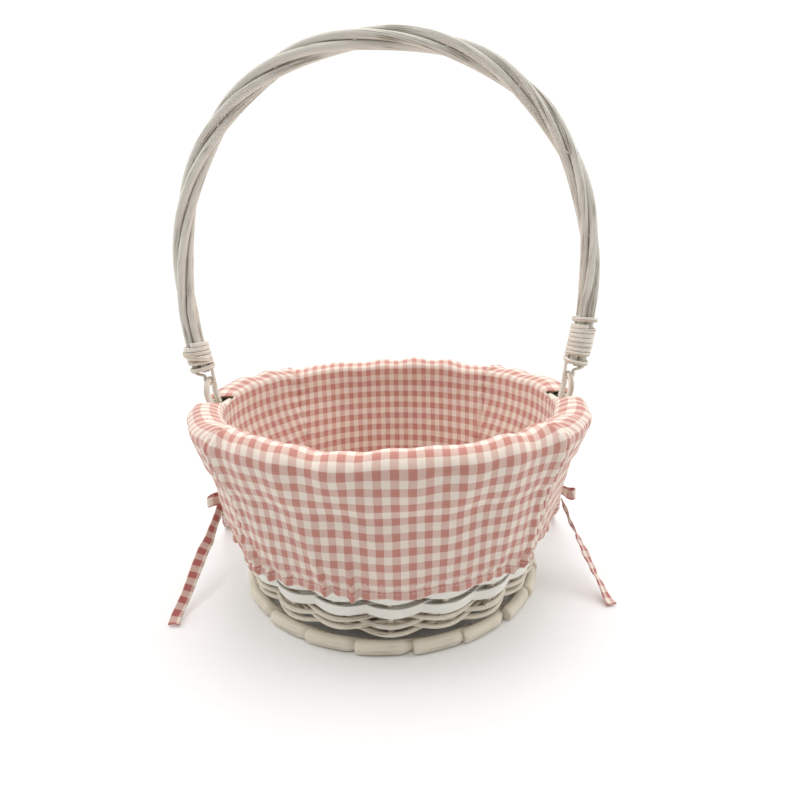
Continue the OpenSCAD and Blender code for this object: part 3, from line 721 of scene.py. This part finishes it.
def handle_at(s):
    """Middle, direction and outward direction of the handle at length s from the right
    foot: legs x = wide_x - (wide_x - eye_x)·((wide_z - z)/(wide_z - pivot_z))², and over
    them an arch (wide_x·|cos a|^arch_full, wide_z + arch_h·|sin a|^arch_full)."""
    def middle(s):
        a = np.pi * np.clip((s - leg_l) / arch_l, 0, 1)
        near_foot = np.minimum(s, handle_l - s)
        over = wide_z + arch_h * np.clip(np.sin(a), 0, 1) ** arch_full
        z = np.where(near_foot < leg_l, strand_end_z + near_foot, over)
        leg = wide_x - (wide_x - eye_x) * ((wide_z - z) / (wide_z - pivot_z)) ** 2
        across = wide_x * np.sign(np.cos(a)) * np.abs(np.cos(a)) ** arch_full
        x = np.where(near_foot < leg_l, np.where(s < leg_l, leg, -leg), across)
        return np.stack([x, 0 * s, z], axis=-1)

    along = unit(middle(s + 0.001) - middle(s - 0.001))
    out = np.stack([along[..., 2], 0 * s, -along[..., 0]], axis=-1)
    return middle(s), along, out


strand_ends = [0.0, 0.0022, 0.0008, -0.0010]
for number in range(1, 5):
    s = np.linspace(strand_ends[number - 1], handle_l - strand_ends[-number], 420)
    middle, along, out = handle_at(s)
    share = np.clip((s - strand_straight) / (handle_l - 2 * strand_straight), 0, 1)
    turn = np.radians(45 + 90 * number) + 2 * np.pi * strand_turns * share
    inward = np.cos(turn)[:, None] * out + np.sin(turn)[:, None] * [0.0, 1.0, 0.0]
    wave = np.sin(23 * share + 1.7 * number) + 0.6 * np.sin(51 * share + number)
    thick = strand_d / 2 * (1 - 0.012 + 0.012 * wave)
    path = middle + ring_r * inward
    strand = rod(path, inward, thick, thick, sides=20)
    make_piece(f"strand_{number}", [strand], handle_willow, "handle",
               [f"handle_strand_{number}"])

# ---- Handle bindings ----
# Each foot of the handle is bound with a flat strip of cane wound tightly round the four
# strands: five turns on the left, seven on the right, with a loose turn or two beside them.
valley = ring_r / np.sqrt(2)
arm_off = valley + cane_t / 2 + np.sqrt(
    (strand_d / 2 + 0.0001) ** 2 - (valley - cane_w / 2 - 0.0001) ** 2)
binding_r = max(bundle_r, arm_off + cane_t / 2) + 0.0004 + cane_t / 2


def winding(foot, low_z, turns, pitch, start, radius, slope=0.0):
    """Helix round a handle foot: C(z) + R·(cos θ·out + sin θ·Y), z rising by pitch a turn,
    with both ends tucked in towards the strands."""
    theta = np.linspace(0, 2 * np.pi * turns, int(60 * turns) + 2)
    rise = low_z - strand_end_z + pitch * theta / (2 * np.pi) + slope * np.sin(theta + start)
    middle, along, out = handle_at(rise if foot > 0 else handle_l - rise)
    ends = np.minimum(theta, theta[-1] - theta)
    r = radius - 0.0012 * np.clip(1 - ends / 0.35, 0, 1) ** 2
    ring = np.cos(theta + start)[:, None] * out + np.sin(theta + start)[:, None] * [0.0, 1.0, 0.0]
    path = middle + r[:, None] * ring
    return rod(path, ring, cane_t / 2, cane_w / 2, sides=16, corner=4.5)


# Foot of each binding, and its number of turns
binding_z = {"left": strand_end_z + 0.003, "right": strand_end_z + 0.006}
binding_turns = {"left": 5, "right": 7}
for foot, name in ((-1, "left"), (1, "right")):
    low_z = binding_z[name] + cane_w / 2 + (0.0012 if foot < 0 else 0.0006)
    turns = binding_turns[name]
    parts = [winding(foot, low_z, turns - 0.6, cane_w + 0.00025, 2.3, binding_r)]
    top_z = low_z + turns * (cane_w + 0.0002)
    if foot < 0:
        parts.append(winding(foot, low_z + 0.002, 0.62, 0.019, 3.6, binding_r + cane_t))
        parts.append(winding(foot, low_z - 0.0038, 1.15, 0.0004, 0.6, binding_r, slope=0.0005))
    else:
        parts.append(winding(foot, low_z - 0.0050, 1.1, 0.0006, 2.9, binding_r, slope=0.0008))
        parts.append(winding(foot, top_z + 0.0022, 1.12, 0.001, 3.1, binding_r, slope=-0.0012))
    make_piece("binding_" + name, parts, pale_cane, "handle",
               ["handle_binding_" + name])

# ---- Handle loops ----
# Strips of the same cane run from each binding down the valleys between the strands and
# round the top of the eye, so that the handle can swing on it.
for foot, name in ((-1, "left"), (1, "right")):
    top_s = binding_z[name] + binding_turns[name] * (cane_w + 0.0002) - strand_end_z
    arm_s = np.linspace(top_s, 0, 7)
    middle, along, out = handle_at(arm_s)
    bottom = np.radians(25 - 230 * np.linspace(0, 1, 14))
    round_bar = np.stack([eye_x + loop_r * np.cos(bottom), 0 * bottom,
                          eye_bar_z + loop_r * np.sin(bottom)], axis=1)
    line = np.vstack([middle + arm_off * out, round_bar, (middle - arm_off * out)[::-1]])
    strips = []
    for offset in (-0.00085, 0.00085):
        path = smooth_line(line, 120) * [foot, 1, 1]
        path[:, 1] += offset + 0.00015 * np.sin(np.linspace(0, 12, 120) + offset * 900)
        facing = np.cross(unit(np.gradient(path, axis=0)), [0.0, 1.0, 0.0])
        strips.append(rod(path, facing, cane_t / 2, cane_w / 4 - 0.00005, sides=14, corner=4.0))
    make_piece("loop_" + name, strips, pale_cane, "handle",
               ["handle_loop_" + name])

# ---- Liner ----
# A loose liner of thin gingham: a round bottom and four panels sewn together at the
# corners, drawn over the rim as a soft roll, and gathered by elastic at its hem. The side
# panels are slit where the handle stands, and tied shut below it.
cloth_t = 0.0010
cad_cloth_t = 0.0015
cloth_gap = 0.0005
roll_puff = 0.004
skirt_puff = 0.003
slit_half = 0.0125
slit_shut_half = 0.0022
hem_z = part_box("hem_elastic_front")[0].z - 0.003
crest_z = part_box("liner_front")[1].z - cad_cloth_t / 2
floor_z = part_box("liner_bottom")[0].z
crest_h = crest_z + cad_cloth_t / 2 - rim_z
liner_off = weave_swing(weaver_d) + weaver_d / 2 / np.cos(lean) + cloth_gap + cad_cloth_t / 2
roll_in_r = rim_r - rim_off - rim_rod_d / 2 - cloth_gap - cad_cloth_t / 2
roll_out_r = rim_r + rim_off + rim_rod_d / 2 + cloth_gap + cad_cloth_t / 2 + 0.0008
inner_top_z = rim_z - rim_rod_d / 2 - 0.008
skirt_z = np.array([0.91, 0.82, 0.76, 0.71, 0.66, 0.59, 0.42, 0.22, 0.10, 0])
skirt_swell = np.array([1.15, 0.90, 0.78, 0.36, 0.05, 0, 0, 0, 0, 0])
skirt_loose = np.array([0, 0, 0, 0, 0.1, 0.2, 0.3, 0.5, 0.5, 0.4])
down = hem_z + skirt_z * (rim_z - hem_z)
skirt = np.stack([wall_r(down) + liner_off + roll_puff * skirt_swell
                  + skirt_puff * skirt_loose, down], axis=1)
liner_line = np.vstack([
    [wall_r(floor_z) - liner_off, floor_z],
    [wall_r(rim_z / 2) - liner_off, rim_z / 2],
    [min(wall_r(inner_top_z) - liner_off, roll_in_r), inner_top_z],
    [roll_in_r, rim_z],
    [roll_in_r + 0.001, rim_z + 0.55 * crest_h],
    [rim_r - 0.0055, crest_z - 0.0014],
    [rim_r, crest_z],
    [rim_r + 0.006, crest_z - 0.001],
    [roll_out_r, rim_z + 0.35 * crest_h],
    skirt,
])
crest_index = 6
slit_from = 4
rows = 212
line_v = run_length(liner_line)
profile = smooth_line(liner_line, rows)
profile_v = np.linspace(-line_v[crest_index], line_v[-1] - line_v[crest_index], rows)
profile_dir = unit(np.gradient(profile, axis=0))
profile_out = np.stack([-profile_dir[:, 1], profile_dir[:, 0]], axis=1)
hem_v = profile_v[-1]
index = np.arange(len(liner_line))
shut = np.clip((index - slit_from) / (len(liner_line) - 4 - slit_from), 0, 1)
slit_at = np.where(index < slit_from, 0, slit_half + (slit_shut_half - slit_half) * shut**2)
slit_row = np.interp(profile_v, line_v - line_v[crest_index], slit_at)


def ripple(phi, v, count, most_round, most_down, seed):
    """Mean of waves cos(n·φ + m·v + p): n is whole, so that each closes round the basket."""
    wave = np.random.default_rng(seed)
    n = wave.integers(most_round // 3, most_round, count)
    m = wave.uniform(-most_down, most_down, count)
    p = wave.uniform(0, 2 * np.pi, count)
    return sum(np.cos(n[k] * phi + m[k] * v + p[k]) for k in range(count)) / np.sqrt(count)


def bell(x, width):
    return np.exp(-((x / width) ** 2))


def rising(v, at, width):
    """0 below at, 1 above it: 1 / (1 + e^(-(v - at)/width))."""
    return 1 / (1 + np.exp(-(v - at) / width))


def turn_from(phi, angle):
    """Angle from one direction to another, between -π and π."""
    return (phi - angle + np.pi) % (2 * np.pi) - np.pi


# Sharp pleats in the skirt: angle, height off the skirt, half width, and lean with v
pleats = [
    (252, 0.0030, 0.0019, 0.16), (260, 0.0034, 0.0020, 0.05), (228, 0.0030, 0.0026, 0.35),
    (233, 0.0022, 0.0024, 0.30), (239, 0.0016, 0.0030, 0.25), (300, 0.0014, 0.0028, -0.20),
    (308, 0.0026, 0.0028, -0.35), (312, 0.0022, 0.0024, -0.30), (48, 0.0028, 0.0027, -0.25),
    (55, 0.0020, 0.0026, -0.20), (84, 0.0016, 0.0024, 0.05), (122, 0.0018, 0.0028, 0.20),
    (129, 0.0028, 0.0026, 0.30), (133, 0.0022, 0.0024, 0.30), (150, 0.0016, 0.0026, 0.15),
    (205, 0.0018, 0.0026, -0.10), (335, 0.0018, 0.0026, 0.12), (24, 0.0018, 0.0026, -0.10),
]


def drape(phi, v, r):
    """How far the cloth stands off its smooth line, and how far its crest is lifted."""
    hem_off = hem_v - v
    below_roll = rising(v, 0.040, 0.006)
    on_roll = bell(v - 0.012, 0.030)
    inside = rising(-v, 0.020, 0.005)
    seam_off = (phi % (np.pi / 2) - np.pi / 4) * r
    corner = bell(seam_off, 0.030)
    gather = np.exp(-np.clip(hem_off - 0.012, 0, None) / (0.012 + 0.012 * corner))
    puckers = np.cos(62 * phi + 1.8 * np.sin(7 * phi) + 0.9 * np.sin(11 * phi + 2))
    off = (0.0002 + 0.0009 * corner) * gather * puckers * below_roll
    off = off - 0.0013 * bell(hem_off - 0.0075, 0.0022) * (1 + 0.5 * puckers)
    off = off + 0.0006 * bell(hem_off - 0.001, 0.003) * (0.5 + ripple(phi, v, 4, 30, 0.1, 5))
    off = off + 0.0014 * below_roll * ripple(phi, v, 7, 24, 48, 3)
    off = off + 0.0008 * on_roll * ripple(phi, v, 7, 36, 70, 9)
    off = off + 0.0004 * inside * (1 + ripple(phi, v, 6, 24, 40, 12))
    for angle, high, wide, slant in pleats:
        across = turn_from(phi, np.radians(angle)) * r + slant * hem_off
        run = np.exp(-np.clip(hem_off - 0.006, 0, None) / 0.017) * below_roll
        off = off + high * run * (bell(across, wide) - 0.45 * bell(across - 2 * wide, 1.3 * wide))
    groove = -0.0010 * bell(seam_off, 0.0014) + 0.0005 * bell(np.abs(seam_off) - 0.004, 0.002)
    outside = rising(v, 0.006, 0.004)
    groove = groove + 0.0030 * outside * bell(seam_off, 0.0075)
    pull = 0.0005 * bell(seam_off, 0.007) * np.cos(2 * np.pi * v / 0.010 + 2 * np.sin(phi * 2))
    off = off + groove + pull
    crest = (np.sin(5 * phi + 0.9) + 0.7 * np.sin(9 * phi + 2.4) + 0.6 * np.sin(14 * phi + 4.0)
             + 0.4 * np.sin(23 * phi + 1.0))
    lift = 0.0011 * crest * bell(v, 0.020)
    drawn_up = bell(turn_from(phi, -0.45), 0.45)
    lift = lift + 0.0050 * drawn_up * np.clip((v - 0.050) / (hem_v - 0.050), 0, 1) ** 2
    return off, lift


def cloth_shell(grids, thick):
    """Closed thin shell about a middle surface: corners that meet are joined, both faces
    stand half a thickness off along the normal, and the open edges are closed by quads."""
    points = np.vstack([g["points"] for g in grids])
    shift = np.cumsum([0] + [len(g["points"]) for g in grids])
    quads = np.vstack([g["quads"] + at for g, at in zip(grids, shift)])
    uv = np.vstack([g["quad_uv"] for g in grids])
    key, where = np.unique(np.round(points, 7), axis=0, return_inverse=True)
    points, quads = key, where.reshape(-1)[quads]
    a, b, c, d = (points[quads[:, k]] for k in range(4))
    face = np.cross(c - a, d - b)
    normal = np.zeros_like(points)
    for k in range(4):
        np.add.at(normal, quads[:, k], face)
    normal = unit(normal)
    count = len(points)
    start, end = quads, np.roll(quads, -1, axis=1)
    edge, back = start * count + end, end * count + start
    open_edge = ~np.isin(edge, back)
    quad_of, corner_of = np.nonzero(open_edge)
    p, q = start[open_edge], end[open_edge]
    p_uv, q_uv = uv[quad_of, corner_of], uv[quad_of, (corner_of + 1) % 4]
    border = np.stack([q, p, p + count, q + count], axis=1)
    return {
        "points": np.vstack([points + normal * thick / 2, points - normal * thick / 2]),
        "quads": np.vstack([quads, quads[:, ::-1] + count, border]),
        "quad_uv": np.vstack([uv, uv[:, ::-1], np.stack([q_uv, p_uv, p_uv, q_uv], axis=1)]),
        "tris": np.zeros((0, 3), int), "tri_uv": np.zeros((0, 3, 2)),
    }


weft_pitch = 0.0112
liner_gingham = gingham("liner_gingham", cotton_pink, warp_pitch, weft_pitch,
                        [hem_v - 0.0125, hem_v - 0.0045])
wide_r = profile[:, 0].max()
saddle_low = rim_z + rim_rod_d / 2 + cloth_gap + cad_cloth_t / 2 + 0.0005
saddle_slope = 0.35


def panel_part(middle_angle, share, slit):
    """Grid of a panel over share of its half width, -1 to 1. With a slit, each column
    starts at the slit's edge; near it the crest dips, so that the handle can lie down."""
    r, z = profile[:, 0][None], profile[:, 1][None]
    edge = np.arcsin(slit_row / profile[:, 0])[None] if slit else 0.0
    off_middle = np.sign(share)[:, None] * edge + share[:, None] * (np.pi / 4 - edge)
    if slit:
        off_middle = np.where(share[:, None] == 0, slit * edge, off_middle)
    phi = middle_angle + off_middle
    v = np.repeat(profile_v[None], len(share), axis=0)
    off, lift = drape(phi, v, r)
    calm = 1.0
    if slit:
        beside = np.abs(r * np.sin(off_middle))
        low = saddle_low + saddle_slope * np.clip(beside - slit_half, 0, None)
        soft = 0.0006
        z = -soft * np.logaddexp(-z / soft, -low / soft)
        calm = 1 - bell(beside - slit_half, 0.016) * (v < 0.05)
        tuck = 0.0016 * bell(beside - r * np.sin(edge), 0.003) * (v > 0.004)
        off = off * calm - tuck
    out_r = r + off * profile_out[:, 0][None]
    points = round_path(out_r, phi, z + off * profile_out[:, 1][None] + lift * calm)
    spare = np.where(profile_v > 0.012, np.maximum(wide_r - profile[:, 0], 0), 0)[None] * np.pi / 4
    u = r * off_middle + spare * np.sign(off_middle) * np.abs(off_middle / (np.pi / 4)) ** 3.5
    return grid(points, u, v)


columns = 184
for name, middle_angle, slit in (("front", -np.pi / 2, False), ("back", np.pi / 2, False),
                                 ("left", np.pi, True), ("right", 0.0, True)):
    if slit:
        half = np.linspace(0, 1, columns // 2)
        grids = [panel_part(middle_angle, -half[::-1], -1), panel_part(middle_angle, half, 1)]
    else:
        grids = [panel_part(middle_angle, np.linspace(-1, 1, columns), 0)]
    made = make_piece("panel_" + name, [cloth_shell(grids, cloth_t)], liner_gingham, "root",
                      ["liner_" + name])

bottom_r = profile[0, 0] - 0.0006
a, b = np.meshgrid(np.linspace(-1, 1, 72), np.linspace(-1, 1, 72), indexing="ij")
x, y = a * np.sqrt(1 - b**2 / 2) * bottom_r, b * np.sqrt(1 - a**2 / 2) * bottom_r
rise = 0.0004 + 0.0003 * np.sin(70 * x + 22 * y) * np.sin(48 * y - 15 * x)
flat_points = np.stack([x, y, floor_z + cloth_t / 2 + rise], axis=-1)
bottom = cloth_shell([grid(flat_points[:, ::-1], x[:, ::-1], y[:, ::-1])], cloth_t)
made = make_piece("panel_bottom", [bottom], liner_gingham, "root",
                  ["liner_bottom"])

# ---- Hem elastic ----
# White knitted elastic, 5 mm wide, lies inside the hem and draws it in under the swell.
elastic_knit, tree, shader = new_material("elastic_knit", {"Roughness": 0.8})
place = add(tree, "ShaderNodeTexCoord").outputs["UV"]
rib = add(tree, "ShaderNodeTexWave", {"Vector": place, "Scale": 700.0, "Distortion": 0.6},
          bands_direction="Y")
# The ribs are near white and the grooves between them a darker grey: the grey in the grooves is
# painted shade.
rib_color_with_groove_shade = blend_colors(tree, rib.outputs["Fac"], (0.70, 0.67, 0.64, 1.0),
                          (0.86, 0.84, 0.82, 1.0))
tree.links.new(rib_color_with_groove_shade, shader.inputs["Base Color"])
knit_bump = add(tree, "ShaderNodeBump", {"Height": rib.outputs["Fac"], "Strength": 0.5,
                                         "Distance": 0.0003})
tree.links.new(knit_bump.outputs[0], shader.inputs["Normal"])
elastic_v = hem_v - 0.0060
margin = np.radians(3)
near_v = elastic_v + np.linspace(-0.003, 0.003, 7)[:, None]
for name, start in (("front", np.pi), ("back", 0.0)):
    phi = np.linspace(start + margin, start + np.pi - margin, 600)
    r = np.interp(elastic_v, profile_v, profile[:, 0])
    z = np.interp(elastic_v, profile_v, profile[:, 1])
    off, lift = drape(phi[None], near_v, r)
    off = off.min(axis=0) - cloth_t / 2 - 0.0008
    path = round_path(r + off, phi, z + lift[3])
    band = rod(path, round_path(1, phi, -np.tan(lean)), 0.0004, 0.0025, sides=12, corner=4.0)
    make_piece("elastic_" + name, [band], elastic_knit, "root",
               ["hem_elastic_" + name])

# ---- Table, backdrop and lights ----
# A plain white table runs into a white surround; soft light comes from above, behind and
# both sides, so the front of the liner is the shaded side.
floor_mesh = bpy.data.meshes.new("table_top")
edge = np.linspace(0, 2 * np.pi, 97)[:-1]
table_r = 0.72
floor_mesh.from_pydata(round_path(table_r, edge, 0).tolist(), [], [list(range(len(edge)))])
floor = new_object("table_top", floor_mesh)
floor.location.z = -0.0002
floor_mesh.materials.append(
    new_material("table_paint", {"Base Color": (0.9, 0.9, 0.9, 1.0), "Roughness": 0.9})[0])
surround = bpy.data.worlds.new("surround")
surround.use_nodes = True
tree = surround.node_tree
seen = add(tree, "ShaderNodeLightPath").outputs["Is Camera Ray"]
tree.nodes["Background"].inputs["Color"].default_value = (1.0, 0.995, 0.985, 1.0)
facing = add(tree, "ShaderNodeSeparateXYZ",
             {0: add(tree, "ShaderNodeTexCoord").outputs["Generated"]}).outputs
glow = calc(tree, "MULTIPLY_ADD", facing[1], 0.32, 0.60)
strength = calc(tree, "MAXIMUM", glow, calc(tree, "MULTIPLY", seen, 1.05))
tree.links.new(strength, tree.nodes["Background"].inputs["Strength"])
bpy.context.scene.world = surround
bpy.context.scene.view_settings.view_transform = "Standard"
basket_middle = np.array([0.0, 0.0, 0.14])
for name, place, width, power in (
    ("light_above", (0.1, 0.25, 1.3), 1.2, 9.0),
    ("light_left", (-1.1, 0.15, 0.7), 0.9, 5.5),
    ("light_right", (1.1, 0.05, 0.65), 0.9, 5.0),
    ("light_front", (-0.15, -0.55, 1.5), 0.9, 5.5),
):
    data = bpy.data.lights.new(name, "AREA")
    data.size = width
    data.energy = power
    back = unit(np.array(place) - basket_middle)
    aside = unit(np.cross([0.0, 1.0, 0.0], back))
    stand_at(new_object(name, data), aside, np.cross(back, aside), back, place)
